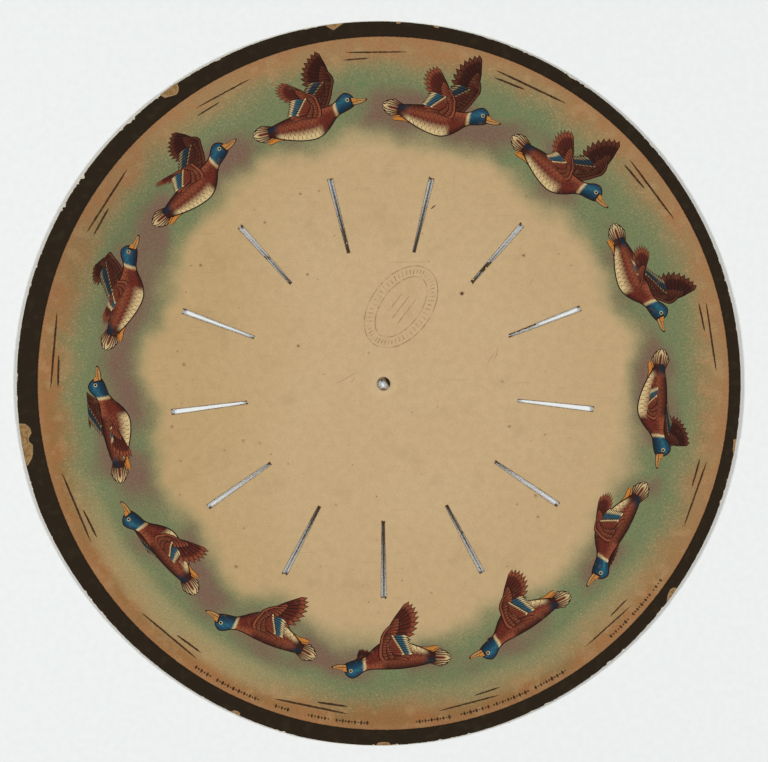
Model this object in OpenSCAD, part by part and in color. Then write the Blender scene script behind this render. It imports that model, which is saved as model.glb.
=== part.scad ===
// Slotted picture disc for a spinning-picture viewer, made of pasteboard.
// A printed face sheet, four board plies and a lining sheet are pasted into one stack,
// and the spindle hole, the viewing slots and the outline are cut through all of them.
// The origin is on the spindle hole's axis at the underside, and +Z points out of the picture.

/* [Outline] */
// Diameter of the cut disc
disc_d = 305; // [240:1:420]
// How far the outline's centre lies to the right of the spindle hole
outline_x = -2; // [-4:0.1:4]
// How far the outline's centre lies above the spindle hole
outline_y = 0.2; // [-4:0.1:4]
// Depth of the flat place where the rim was trimmed too close
trim_depth = 1.2; // [0.4:0.1:4]
// Length of that flat place, measured along the rim
trim_length = 150; // [80:1:200]
// Direction of that flat place, anticlockwise from the right
trim_angle = 229; // [0:1:359]

/* [Pasteboard] */
// Thickness of the printed face sheet
face_t = 0.15; // [0.08:0.01:0.4]
// Thickness of one board ply
ply_t = 0.325; // [0.15:0.005:0.8]
// Thickness of the lining sheet on the back
back_t = 0.15; // [0.08:0.01:0.4]

/* [Spindle hole] */
// Diameter of the punched spindle hole
hole_d = 5.4; // [3:0.1:20]

/* [Viewing slots] */
// Number of slots
slot_count = 13; // [6:1:24]
// Distance from the middle of the slot ring to a slot's inner end
slot_start_r = 57.4; // [30:0.1:80]
// Length of a slot
slot_length = 32.1; // [10:0.1:45]
// Width of a slot at its inner end
slot_inner_w = 1.35; // [0.6:0.05:4]
// Width of a slot at its outer end
slot_outer_w = 2.35; // [0.6:0.05:6]
// How far the slot ring's middle lies to the right of the spindle hole
slot_ring_x = -0.55; // [-2:0.05:2]
// How far the slot ring's middle lies above the spindle hole
slot_ring_y = -0.5; // [-2:0.05:2]
// Direction of the first slot, anticlockwise from the right
first_slot_angle = 270.4; // [0:0.1:359.9]

/* [Worn rim] */
// How much deeper or shallower the flakes lost from the face sheet are than on the real disc
flake_depth_factor = 1; // [0.3:0.05:1.5]

/* [Hidden] */
$fn = 96;

PLY_COUNT = 4;
disc_r = disc_d / 2;
board_z = back_t;
face_z = board_z + PLY_COUNT * ply_t;
// Cuts run past both faces of a sheet by this much
PAST = 0.5;

// The flat place is one arc of a larger circle that bites into the disc's outline.
trim_half_angle = trim_length / 2 / disc_r * 180 / PI;
trim_shift = (disc_r * disc_r - pow(disc_r - trim_depth, 2))
    / (2 * (disc_r - trim_depth - disc_r * cos(trim_half_angle)));
trim_r = disc_r - trim_depth + trim_shift;

// Flakes of the face sheet that have come away at the rim, going anticlockwise.
// Each is [direction of its first corner, [[distance along the rim, depth from the rim], ...]].
FLAKES = [
    [80.3, [[0, 0.2], [0.7, 0.9], [2.1, 0.8], [2.8, 0.2]]],
    [86.4, [[0, 0.1], [0.6, 0.8], [1.9, 0.9], [2.4, 0.1]]],
    [95.5, [[0, 0.1], [2.3, 1.2], [4.7, 2.6], [6.1, 1.7], [8.1, 0.1]]],
    [123.9, [[0, 0.3], [0.5, 2.3], [1.6, 3.5], [2.9, 4.1], [5.5, 3.2], [7.9, 2.3], [8.7, 0.2]]],
    [186.4, [[0, 0.6], [0.4, 2.7], [2.3, 4.5], [4.6, 4.8], [6.7, 3.3], [8.2, 3.2], [9.8, 4.6],
        [13.3, 4.0], [15.4, 3.1], [17.3, 1.5], [18.1, 0.5]]],
    [245.8, [[0, 1.0], [0.9, 2.0], [2.4, 2.2], [3.7, 1.9], [3.9, 1.0]]],
    [269.6, [[0, 0.2], [0.8, 1.2], [3.0, 1.5], [5.2, 1.3], [6.4, 0.2]]],
    [322.8, [[0, 0.2], [1.5, 1.2], [3.4, 1.9], [5.2, 2.2], [6.6, 1.5], [7.3, 0.1]]],
    [348.6, [[0, 0.2], [2.2, 0.9], [4.6, 1.0], [6.4, 1.3], [6.8, 0.2]]]
];

// Outline shared by every sheet
module outline_blank(z, t) {
    intersection() {
        translate([outline_x, outline_y, z])
            cylinder(h = t, r = disc_r);
        translate([outline_x, outline_y, z])
            rotate(trim_angle)
                translate([-trim_shift, 0, 0])
                    cylinder(h = t, r = trim_r);
    }
}

// One slot, a little wider at its outer end, along +X from the middle of the slot ring
module slot_cut(h) {
    slot_end_r = slot_start_r + slot_length;
    linear_extrude(height = h)
        polygon([
            [slot_start_r, -slot_inner_w / 2],
            [slot_end_r, -slot_outer_w / 2],
            [slot_end_r, slot_outer_w / 2],
            [slot_start_r, slot_inner_w / 2]
        ]);
}

// Everything punched through a sheet: the spindle hole and the ring of slots
module punched_cuts(z, t) {
    translate([0, 0, z - PAST])
        cylinder(h = t + 2 * PAST, d = hole_d);
    translate([slot_ring_x, slot_ring_y, z - PAST])
        for (i = [0 : slot_count - 1])
            rotate(first_slot_angle + i * 360 / slot_count)
                slot_cut(t + 2 * PAST);
}

module punched_sheet(z, t) {
    difference() {
        outline_blank(z, t);
        punched_cuts(z, t);
    }
}

// A corner of a flake, from its distance along the rim and its depth below the rim
function flake_corner(first_angle, along, depth) =
    let (a = first_angle + along / disc_r * 180 / PI)
    let (r = disc_r - depth)
    [r * cos(a), r * sin(a)];

// One flake, closed outside the rim
module flake_cut(flake, h) {
    first_angle = flake[0];
    corners = flake[1];
    last_along = corners[len(corners) - 1][0];
    inner = [for (c = corners) flake_corner(first_angle, c[0], c[1] * flake_depth_factor)];
    outer = [flake_corner(first_angle, last_along, -PAST), flake_corner(first_angle, 0, -PAST)];
    linear_extrude(height = h)
        polygon(concat(inner, outer));
}

// Plain lining sheet pasted over the back
module back_sheet() {
    color([0.72, 0.64, 0.50])
        punched_sheet(0, back_t);
}

// One of the pasted board plies, counted from the back
module board_ply(i) {
    color([0.66, 0.58, 0.44])
        punched_sheet(board_z + (i - 1) * ply_t, ply_t);
}

// Printed sheet pasted over the front, with the flakes lost from its rim
module face_sheet() {
    color([0.765, 0.659, 0.498])
        difference() {
            punched_sheet(face_z, face_t);
            translate([outline_x, outline_y, face_z - PAST])
                for (flake = FLAKES)
                    flake_cut(flake, face_t + 2 * PAST);
        }
}

back_sheet();
board_ply(1);  // board_ply_1
board_ply(2);  // board_ply_2
board_ply(3);  // board_ply_3
board_ply(4);  // board_ply_4
face_sheet();
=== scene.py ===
# Slotted picture disc for a spinning-picture viewer: its papers, its print and its wear.
# The six pasted sheets come from the frame and stay as they are, and each gets its finish here.
# Ink drawings and torn edges are thin pieces on the printed face. Sizes are in millimetres
# about the spindle hole, and are turned into metres when a mesh is made.

from math import atan2, cos, degrees, pi, radians, sin

import bpy
import numpy as np
from mathutils.geometry import delaunay_2d_cdt
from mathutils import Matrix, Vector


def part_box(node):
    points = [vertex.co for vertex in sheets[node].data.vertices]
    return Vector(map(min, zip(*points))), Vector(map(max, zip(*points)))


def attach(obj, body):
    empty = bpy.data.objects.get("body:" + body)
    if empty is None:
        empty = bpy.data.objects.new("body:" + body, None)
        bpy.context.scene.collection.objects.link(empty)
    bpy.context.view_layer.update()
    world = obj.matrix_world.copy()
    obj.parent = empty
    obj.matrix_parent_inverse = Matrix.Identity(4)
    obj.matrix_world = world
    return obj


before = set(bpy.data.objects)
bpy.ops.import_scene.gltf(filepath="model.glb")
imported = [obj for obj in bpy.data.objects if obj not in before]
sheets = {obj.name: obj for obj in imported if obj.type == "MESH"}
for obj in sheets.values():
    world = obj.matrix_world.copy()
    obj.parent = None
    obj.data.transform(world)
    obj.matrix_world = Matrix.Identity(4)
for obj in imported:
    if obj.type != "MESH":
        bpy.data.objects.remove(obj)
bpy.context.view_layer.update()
BODY = "root"
MM = 0.001


# Lining sheet.
# Plain wove paper, pasted over the back of the board so that the disc stays flat.
# It has browned from the rim inwards and foxed, and a viewer's flange has rubbed a ring on it.

# How strongly a grain shows as relief on any paper here, and how little the papers shine
RELIEF_STRENGTH = 0.6
SHEEN = 0.12


def feed(node, values):
    """Feeds a node's inputs, by name or number, with fields or plain values."""
    for key, value in values.items():
        if isinstance(value, Field):
            value.tree.links.new(value.socket, node.inputs[key])
        else:
            node.inputs[key].default_value = value


def add(kind, inputs=None, out=0, tree=None, **settings):
    """One output of a new node, made in the tree given or where its inputs come from."""
    inputs = inputs or {}
    tree = tree or next(value.tree for value in inputs.values() if isinstance(value, Field))
    node = tree.nodes.new(kind)
    for name, value in settings.items():
        setattr(node, name, value)
    feed(node, inputs)
    return Field(node.outputs[out])


def calc(how, *values):
    return add("ShaderNodeMath", dict(enumerate(values)), operation=how)


def sign(how, swapped=False):
    """An arithmetic sign between fields or numbers, which adds a math node."""
    return lambda one, other: calc(how, other, one) if swapped else calc(how, one, other)


class Field:
    """One output of a node. Plain arithmetic on it adds the nodes that work it out."""

    def __init__(self, socket):
        self.socket = socket
        self.tree = socket.id_data

    def __abs__(self):
        return calc("ABSOLUTE", self)

    __add__ = sign("ADD")
    __sub__ = sign("SUBTRACT")
    __rsub__ = sign("SUBTRACT", True)
    __mul__ = sign("MULTIPLY")
    __truediv__ = sign("DIVIDE")
    __rtruediv__ = sign("DIVIDE", True)
    __mod__ = sign("MODULO")
    __pow__ = sign("POWER")


def fade(value, start, end, low=0.0, high=1.0):
    """Goes softly from low to high while the value goes from start to end."""
    inputs = {0: value, 1: start, 2: end, 3: low, 4: high}
    return add("ShaderNodeMapRange", inputs, interpolation_type="SMOOTHSTEP")


def parts_of(vector):
    """The three parts of a place or direction."""
    split = add("ShaderNodeSeparateXYZ", {0: vector})
    return [Field(socket) for socket in split.socket.node.outputs]


def scaled(vector, amount):
    """A place or colour times a number."""
    return add("ShaderNodeVectorMath", {0: vector, 3: amount}, operation="SCALE")


def spread(at, size, seed):
    """The place in patches of the given size, moved by the seed."""
    sizes = size if isinstance(size, tuple) else (size, size, size)
    inputs = {0: at, 1: tuple(1 / s for s in sizes), 2: (seed * 37.7, seed * 19.3, seed * 11.1)}
    return add("ShaderNodeVectorMath", inputs, operation="MULTIPLY_ADD")


def cloud(at, size, seed, detail=2.0):
    """Soft patches of the given size, as a number from 0 to 1 that is a half on average."""
    inputs = {"Vector": spread(at, size, seed), "Scale": 1.0, "Detail": detail}
    return add("ShaderNodeTexNoise", inputs)


def swatch(red, green, blue):
    """A colour read off a screen, 0 to 255, as the light that it stands for."""
    return tuple(((c / 255 + 0.055) / 1.055) ** 2.4 for c in (red, green, blue)) + (1.0,)


def tint(amount, under, over):
    """Mixes one colour into another. Each comes from a node or is read off a screen."""
    under, over = (swatch(*c) if isinstance(c, tuple) else c for c in (under, over))
    return add("ShaderNodeMix", {0: amount, 6: under, 7: over}, out=2, data_type="RGBA")


def foxing(at, spacing, seed):
    """Brown age spots: small ones in most cells of a loose grid, a large one now and then."""
    inputs = {"Vector": spread(at, spacing, seed), "Scale": 1.0}
    away = add("ShaderNodeTexVoronoi", inputs, out="Distance")
    chance = parts_of(Field(away.socket.node.outputs["Color"]))[0]
    reach = chance ** 7.0 * 0.26 + 0.015
    return fade(away / reach, 1.0, 0.25)


def new_finish(name):
    """A new material, and the place on the object in millimetres."""
    material = bpy.data.materials.new(name)
    material.use_nodes = True
    place = add("ShaderNodeTexCoord", out="Object", tree=material.node_tree)
    return material, scaled(place, 1 / MM)


def lay_on(colour, grain, roughness, depth, over=(0.3, 0.7)):
    """Gives a surface its colour, and its roughness and relief by a grain, deep in millimetres."""
    relief = {"Strength": RELIEF_STRENGTH, "Distance": depth * MM, "Height": grain}
    inputs = {"Base Color": colour, "Roughness": fade(grain, *over, *roughness)}
    inputs.update({"Normal": add("ShaderNodeBump", relief), "Specular IOR Level": SHEEN})
    feed(colour.tree.nodes["Principled BSDF"], inputs)


def flat_from(at, middle, oval=1.0):
    """Where a place lies from a point of the disc, whatever its height."""
    inputs = {0: at, 1: (1.0, oval, 0.0), 2: (-middle[0], -middle[1], 0.0)}
    return add("ShaderNodeVectorMath", inputs, operation="MULTIPLY_ADD")


def size_of(vector):
    return add("ShaderNodeVectorMath", {0: vector}, out=1, operation="LENGTH")


def flat_distance(at, middle=(0, 0)):
    return size_of(flat_from(at, middle))


lining_low, lining_high = (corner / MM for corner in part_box("back_sheet"))
rim_middle = (lining_low + lining_high) / 2
rim_radius = (lining_high.x - lining_low.x) / 2

FLANGE_RADIUS = 11.0
# From where a tint is nothing to where it is full: off the flange's ring, and in from the rim
FLANGE_MARK = (1.6, 0.6)
BROWNED_FROM_RIM = (26.0, 6.0)

lining_paper, at = new_finish("lining_paper")
fibre = cloud(at, (1.6, 0.5, 0.5), 1, 4.0)
blotch = cloud(at, 38.0, 2, 3.0)
from_rim = rim_radius - flat_distance(at, rim_middle)
browned = from_rim + cloud(at, 17.0, 3, 4.0) * 18.0
from_flange = abs(flat_distance(at) - FLANGE_RADIUS)
ring_mark = fade(from_flange + cloud(at, 4.0, 4), *FLANGE_MARK)
paper = tint(fade(blotch, 0.35, 0.65), (190, 169, 134), (176, 154, 117))
paper = tint(fade(browned, *BROWNED_FROM_RIM, 0.0, 0.75), paper, (148, 119, 82))
paper = tint(ring_mark * 0.4, paper, (126, 108, 84))
paper = tint(foxing(at, 13.0, 5) * 0.6, paper, (112, 74, 42))
paper = tint(foxing(at, 5.0, 6) * 0.35, paper, (126, 88, 52))
smudge = fade(cloud(at, (26.0, 13.0, 13.0), 7, 5.0), 0.54, 0.74, 0.0, 0.22)
paper = tint(smudge, paper, (128, 114, 94))
paper = scaled(paper, fade(fibre, 0.3, 0.7, 0.93, 1.05))
lay_on(paper, fibre, (0.86, 0.72), 0.05)
sheets["back_sheet"].data.materials[0] = lining_paper


# Board plies.
# Coarse buff pulp board, four plies pasted together and punched through with the papers.
# Only their cut edges show, burnished by the die and dirty, and the top one where the face tore.

# Cut edges nearer the middle than this, the slots' and the hole's, are darkened brown: partly dirt of
# handling, partly painted shade down in the slots and the hole
SHADED_AND_HANDLED_CUTS = (98.0, 94.0)
# The dark of a pasted seam, from a ply's faces inwards
SEAM_DEPTH = 0.05


def facing_up(tree):
    """Goes from 0 on a cut edge to 1 on a sheet's top."""
    facing = add("ShaderNodeNewGeometry", out="True Normal", tree=tree)
    return fade(parts_of(facing)[2], 0.5, 0.9)


def pulp_board(name, number, box):
    low, high = (corner / MM for corner in box)
    board, at = new_finish(name)
    pulp = cloud(at, (1.1, 1.1, 0.10), 10 + number, 4.0)
    flecks = fade(cloud(at, 0.8, 20 + number, 1.0), 0.66, 0.74)
    height = parts_of(at)[2]
    inside = calc("MINIMUM", height - low.z, high.z - height)
    seam = fade(inside, SEAM_DEPTH, 0.0, 0.0, 0.55)
    edge = tint(fade(pulp, 0.35, 0.65), (176, 153, 113), (150, 127, 91))
    edge = tint(seam, edge, (92, 72, 48))
    grime = fade(cloud(at, 9.0, 30 + number, 3.0), 0.45, 0.7, 0.0, 0.45)
    edge = tint(grime, edge, (112, 92, 66))
    # Painted shade and handling dirt: the walls of the slots and the hole turn dark brown
    shaded_and_handled = fade(flat_distance(at), *SHADED_AND_HANDLED_CUTS, 0.0, 0.85)
    edge = tint(shaded_and_handled, edge, (84, 54, 20))
    torn = tint(fade(pulp, 0.38, 0.62), (158, 127, 84), (124, 95, 54))
    torn = tint(fade(cloud(at, 2.4, 40, 3.0), 0.5, 0.62, 0.0, 0.5), torn, (146, 108, 68))
    colour = tint(facing_up(at.tree), edge, torn)
    colour = tint(flecks * 0.5, colour, (96, 70, 44))
    lay_on(colour, pulp, (0.92, 0.78), 0.12)
    return board


ply_names = sorted(name for name in sheets if name.startswith("board_ply"))
for number, name in enumerate(ply_names):
    sheets[name].data.materials[0] = pulp_board(name + "_pulp", number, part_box(name))


# Printed face sheet.
# Tan paper printed from stones in soft crayon tints: a ring of green and mauve haze, an orange
# ring outside it and a dark band at the rim. The bare middle has foxed and browned to the left.

PRINT_MIDDLE = (-0.07, 0.25)
BAND_RADIUS = 145.54
BAND_OVAL = 0.997
# How far from the middle each tint starts and is full, or fades and stops
SAND_FROM = (101.0, 115.0)
TAN_FROM = (127.0, 140.0)
HAZE_FROM, HAZE_TO = (98.0, 112.0), (143.0, 125.0)
DUSK_FROM, DUSK_TO = (103.0, 113.0), (128.0, 118.0)
SEAM_FROM = (142.0, 145.0)
MEETING_FROM, MEETING_TO = (122.0, 130.0), (144.0, 134.0)
THIN_FROM, THIN_TO = (125.0, 132.0), (142.0, 137.0)
HEAVY_FROM = (120.0, 126.0)
GRAIN_FROM = (99.0, 112.0)
# The paper round the spindle hole is pale, and dirty at its very edge
PALE_TO = (7.5, 4.5)
DIRTY_TO = (4.0, 3.2)
# Dirt beside the slots' edges
SLOT_DIRT_TO = (0.95, 0.35)


def cut_borders(mesh):
    """Borders of a sheet's top face, each a closed loop of flat points, the longest first."""
    corners = np.array([v.co for v in mesh.vertices]) / MM
    top = corners[:, 2].max()
    flat = [tuple(c) for c in corners[:, :2].round(4).tolist()]
    runs = set()
    for face in mesh.polygons:
        if face.normal.z > 0.5 and all(corners[i, 2] > top - 0.01 for i in face.vertices):
            around = [flat[i] for i in face.vertices]
            runs.update(zip(around, around[1:] + around[:1]))
    following = {a: b for a, b in sorted(runs) if (b, a) not in runs}
    loops = []
    while following:
        start, point = following.popitem()
        loop = [start]
        while point != start:
            loop.append(point)
            point = following.pop(point)
        loops.append(np.array(loop))
    return sorted(loops, key=len, reverse=True)


# The slots' own sizes, from the borders of the sheet's top face
face_borders = cut_borders(sheets["face_sheet"].data)
outline, hole_border, slot_borders = face_borders[0], face_borders[1], face_borders[2:]
slot_count = len(slot_borders)
slot_step = 360 / slot_count
slot_ring_middle = np.mean([border.mean(0) for border in slot_borders], 0).round(3).tolist()
lowest_slot = min(slot_borders, key=lambda border: border[:, 1].min()) - slot_ring_middle
slot_run = lowest_slot.mean(0) / np.linalg.norm(lowest_slot.mean(0))
first_slot = round(degrees(atan2(slot_run[1], slot_run[0])) % 360, 2)
slot_along = lowest_slot @ slot_run
slot_aside = np.abs(lowest_slot @ (-slot_run[1], slot_run[0]))
slot_inner, slot_outer = slot_along.min().round(3).item(), slot_along.max().round(3).item()
slot_inner_width, slot_outer_width = (2 * np.sort(slot_aside)[[0, -1]]).round(3).tolist()


def bare_paper(at):
    """The unprinted sheet, with its stains and the dirt of handling."""
    stain = cloud(at, 60.0, 50, 3.0) * 60.0 + parts_of(at)[0]
    colour = tint(fade(stain, 5.0, -55.0), (196, 168, 127), (186, 157, 110))
    aged = fade(flat_distance(at), 45.0, 100.0, 0.0, 0.45)
    colour = tint(aged, colour, (182, 153, 108))
    warm = fade(cloud(at, 45.0, 51, 2.0), 0.35, 0.65)
    colour = tint(warm * 0.35, colour, (191, 160, 117))
    thumbed = fade(cloud(at, 14.0, 52, 4.0), 0.55, 0.75, 0.0, 0.22)
    colour = tint(thumbed, colour, (160, 134, 96))
    scratch = fade(cloud(at, (22.0, 1.1, 1.0), 53, 3.0), 0.66, 0.74, 0.0, 0.25)
    colour = tint(scratch, colour, (150, 124, 88))
    from_hole = flat_distance(at) + cloud(at, 2.0, 55)
    colour = tint(fade(from_hole, *PALE_TO, 0.0, 0.5), colour, (204, 178, 138))
    colour = tint(fade(from_hole, *DIRTY_TO, 0.0, 0.3), colour, (124, 98, 66))
    mottle = cloud(at, 3.2, 56, 4.0)
    colour = scaled(colour, fade(mottle, 0.3, 0.7, 0.965, 1.03))
    fibre = cloud(at, (1.0, 0.45, 0.45), 54, 3.0)
    return scaled(colour, fade(fibre, 0.25, 0.75, 0.94, 1.06))


def crayon(at, amount, size, seed, low=0.45, high=1.1):
    """Ink laid with a greasy crayon on a grained stone, which breaks it up into grains."""
    grain = cloud(at, size, seed, 1.0)
    return amount * fade(grain, 0.3, 0.7, low, high)


def cosine(turn):
    return calc("COSINE", turn)


def sine(turn):
    return calc("SINE", turn)


def towards(turn, angle, reach, low, high):
    """Goes softly from low to high as the direction comes within reach of an angle."""
    near = cosine(turn - radians(angle))
    return fade(near, cos(radians(reach)), 1.0, low, high)


def printed_face(at):
    """Colour of the printed sheet anywhere on its face."""
    colour = bare_paper(at)
    across = flat_from(at, PRINT_MIDDLE, BAND_OVAL)
    radius = size_of(across)
    x, y, _ = parts_of(across)
    turn = calc("ARCTAN2", y, x)
    bulge = cosine(turn * slot_count + radians(-slot_count * 275))
    wander = cloud(at, 26.0, 60, 2.0) * 20.0 - 10.0
    soft = radius + wander
    inner = soft + bulge * 2.2
    inner = cosine(turn - radians(310)) * -2.6 + inner
    inner = cosine(turn * 2.0 + radians(-600)) * -1.8 + inner
    inner = inner + towards(turn, 190, 50, 0.6, 3.2)

    colour = tint(fade(inner, *SAND_FROM), colour, (146, 132, 92))
    to_top = fade(x * 0.5 + y, -110.0, 60.0)
    tan = fade(wander * 0.4 + radius, *TAN_FROM)
    colour = tint(tan, colour, tint(to_top, (145, 105, 62), (155, 122, 81)))
    haze = fade(inner, *HAZE_FROM) * fade(soft, *HAZE_TO)
    green = crayon(at, haze, 0.65, 61, 0.6, 1.0)
    colour = tint(green, colour, (103, 119, 82))
    dusk = fade(inner, *DUSK_FROM) * fade(soft, *DUSK_TO)
    patches = fade(cloud(at, 30.0, 62, 1.0), 0.42, 0.6)
    mauve = crayon(at, dusk * patches, 0.65, 63, 0.65, 1.0)
    colour = tint(mauve, colour, (120, 86, 74))
    blots = fade(cloud(at, 9.0, 64, 3.0), 0.42, 0.62)
    orange = crayon(at, tan * blots, 0.7, 65, 0.1, 0.6)
    colour = tint(orange, colour, (166, 106, 64))
    sandy = fade(cloud(at, 6.0, 74, 3.0), 0.5, 0.68, 0.0, 0.45)
    colour = tint(tan * sandy, colour, (172, 140, 98))
    seam = crayon(at, fade(radius, *SEAM_FROM), 0.8, 100, 0.35, 0.75)
    colour = tint(seam, colour, (157, 113, 74))
    meeting = fade(soft, *MEETING_FROM) * fade(soft, *MEETING_TO)
    dots = cloud(at, 0.85, 69, 3.0)
    olive = meeting * fade(dots, 0.48, 0.34, 0.0, 0.4)
    colour = tint(olive, colour, (124, 122, 78))
    bare = meeting * fade(dots, 0.52, 0.72, 0.0, 0.42)
    colour = tint(bare, colour, (184, 158, 112))
    thin = fade(radius, *THIN_FROM) * fade(radius, *THIN_TO)
    thin_sides = calc("MAXIMUM", towards(turn, 228, 36, 0.0, 0.55), towards(turn, 300, 34, 0.0, 0.3))
    colour = tint(thin * thin_sides, colour, (170, 150, 106))
    heavy = towards(turn, 150, 24, 1.0, 0.87) * towards(turn, 285, 30, 1.0, 0.94)
    colour = tint(fade(soft, *HEAVY_FROM), colour, scaled(colour, heavy))
    grain = cloud(at, 0.5, 66, 1.0)
    colour = tint(fade(inner, *GRAIN_FROM), colour, scaled(colour, fade(grain, 0.25, 0.75, 0.86, 1.12)))

    edge = cloud(at, 1.2, 67) * 0.4 + (radius - 0.2)
    fringe = fade(edge, BAND_RADIUS - 0.25, BAND_RADIUS)
    colour = tint(fringe, colour, (84, 52, 31))
    scuffed = fade(cloud(at, 4.0, 68, 4.0), 0.5, 0.72)
    band = tint(scuffed, (37, 27, 12), (45, 35, 19))
    band = tint(fade(edge, BAND_RADIUS + 0.8, BAND_RADIUS + 0.3, 0.0, 0.7), band, (29, 19, 5))
    return tint(fade(edge, BAND_RADIUS - 0.02, BAND_RADIUS + 0.1), colour, band)


def slot_dirt(at):
    """Dirt along the cut edges of the slots, where eyes and fingers came close."""
    across = flat_from(at, slot_ring_middle)
    x, y, _ = parts_of(across)
    turn = calc("ARCTAN2", y, x) - radians(first_slot)
    half_step = radians(slot_step) / 2
    folded = calc("WRAP", turn, half_step, -half_step)
    radius = size_of(across)
    along = radius * cosine(folded)
    aside = abs(radius * sine(folded))
    slope = (slot_outer_width - slot_inner_width) / 2 / (slot_outer - slot_inner)
    half = along * slope + (slot_inner_width / 2 - slope * slot_inner)
    beside = aside - half
    past_ends = calc("MAXIMUM", slot_inner - along, along - slot_outer)
    away = calc("MAXIMUM", beside, past_ends)
    rough = cloud(at, 2.5, 70, 3.0) * 0.9 + away
    return fade(rough, *SLOT_DIRT_TO, 0.0, 0.5)


printed_paper, at = new_finish("printed_paper")
colour = printed_face(at)
colour = tint(slot_dirt(at), colour, (146, 116, 78))
core = tint(cloud(at, 0.7, 71, 2.0), (170, 148, 110), (132, 108, 76))
# The face sheet's own cut edge in the slots and the hole darkens the same way: painted shade and handling
# dirt
core = tint(fade(flat_distance(at), *SHADED_AND_HANDLED_CUTS, 0.0, 0.7), core, (84, 58, 26))
colour = tint(facing_up(at.tree), core, colour)
fibre = cloud(at, (0.7, 0.4, 0.4), 72, 3.0)
lay_on(colour, fibre, (0.72, 0.58), 0.03)
sheets["face_sheet"].data.materials[0] = printed_paper
face_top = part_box("face_sheet")[1].z / MM


# Flying ducks.
# Thirteen birds printed in a ring, one for each slot, a thirteenth of a wingbeat apart, backs to
# the rim. Each is one flat piece: a dark line plate with chestnut, teal and cream tints in it.

DUCK_RING = 114.5
FIRST_DUCK = 272.5
FIRST_BEAT = 7 / 13
DUCK_SCALE = 1.2
# How far a duck rises and sinks with its wingbeat, and how far behind the beat
BOB = 0.9
BOB_LAG = 0.9 * pi
# How far ink lies above the face, and the pitch of the points that let a graded ink turn
INK_HEIGHT = 0.02
GRADING_PITCH = 0.9
# Widths of the dark line round a feather and round the body, and of half a feather's rib
FEATHER_LINE = 0.22
BODY_LINE = 0.42
HALF_RIB = 0.09
# Rows of small breast feathers: each one's radius and line, and their pitch
SCALLOP_ROWS = 6
SCALLOP = (0.77, 0.17)
SCALLOP_PITCH = 1.55
LINE = swatch(36, 16, 9)
CHESTNUT = swatch(98, 37, 24)
CHESTNUT_DARK = swatch(54, 21, 13)
CHESTNUT_LIGHT = swatch(130, 66, 42)
TEAL = swatch(24, 62, 84)
TEAL_LIGHT = swatch(46, 100, 112)
TEAL_DARK = swatch(15, 36, 48)
CREAM = swatch(200, 176, 126)
CREAM_SHADE = swatch(160, 128, 84)
OCHRE = swatch(182, 116, 48)
BODY_SECTIONS = [
    (17.7, 3.2, 1.3, 1.1), (16.9, 3.5, 2.2, 1.9), (15.4, 3.6, 2.9, 2.5), (13.6, 3.2, 2.7, 2.5),
    (11.8, 2.5, 2.1, 2.2), (9.8, 1.7, 2.2, 2.6), (7.6, 0.9, 2.8, 3.8), (5.0, 0.3, 3.5, 5.0),
    (2.0, 0.0, 3.9, 5.6), (-1.5, 0.0, 3.9, 5.3), (-5.0, 0.1, 3.5, 4.5), (-8.5, 0.3, 2.8, 3.4),
    (-11.5, 0.5, 2.0, 2.2), (-14.0, 0.7, 1.2, 1.2)]


def blend_ink(under, over, amount):
    amount = np.clip(amount, 0, 1)[:, None]
    return np.asarray(under) * (1 - amount) + np.asarray(over) * amount


def graded_ink(first, last, start, end):
    """A tint that goes from one ink to another between two points."""
    start = np.array(start, float)
    run = np.array(end, float) - start
    return lambda at: blend_ink(first, last, (at - start) @ run / (run @ run))


def flowing(points, steps):
    """A smooth line through given points."""
    points = np.array(points, float)
    padded = np.vstack([2 * points[0] - points[1], points, 2 * points[-1] - points[-2]])
    line = []
    for before, start, end, after in zip(padded, padded[1:], padded[2:], padded[3:]):
        for t in np.arange(steps) / steps:
            line.append(0.5 * (2 * start + (end - before) * t
                + (2 * before - 5 * start + 4 * end - after) * t ** 2
                + (3 * start - before - 3 * end + after) * t ** 3))
    return np.array(line + [points[-1]])


def outward(line):
    """Unit normals on the left of a line of points."""
    run = np.gradient(line, axis=0)
    return np.c_[-run[:, 1], run[:, 0]] / np.linalg.norm(run, axis=1)[:, None]


def direction(angle):
    return np.array([cos(angle), sin(angle)])


body_line = flowing(BODY_SECTIONS, 4)


def body_at(x):
    """Middle, reach above and reach below of the body at one place along it."""
    return [np.interp(x, body_line[::-1, 0], body_line[::-1, i]) for i in (1, 2, 3)]


def body_outline(margin):
    upper = np.c_[body_line[:, 0], body_line[:, 1] + body_line[:, 2]]
    lower = np.c_[body_line[:, 0], body_line[:, 1] - body_line[:, 3]]
    upper = upper - outward(upper) * margin
    lower = lower + outward(lower) * margin
    return np.vstack([upper, lower[::-1]])


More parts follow.
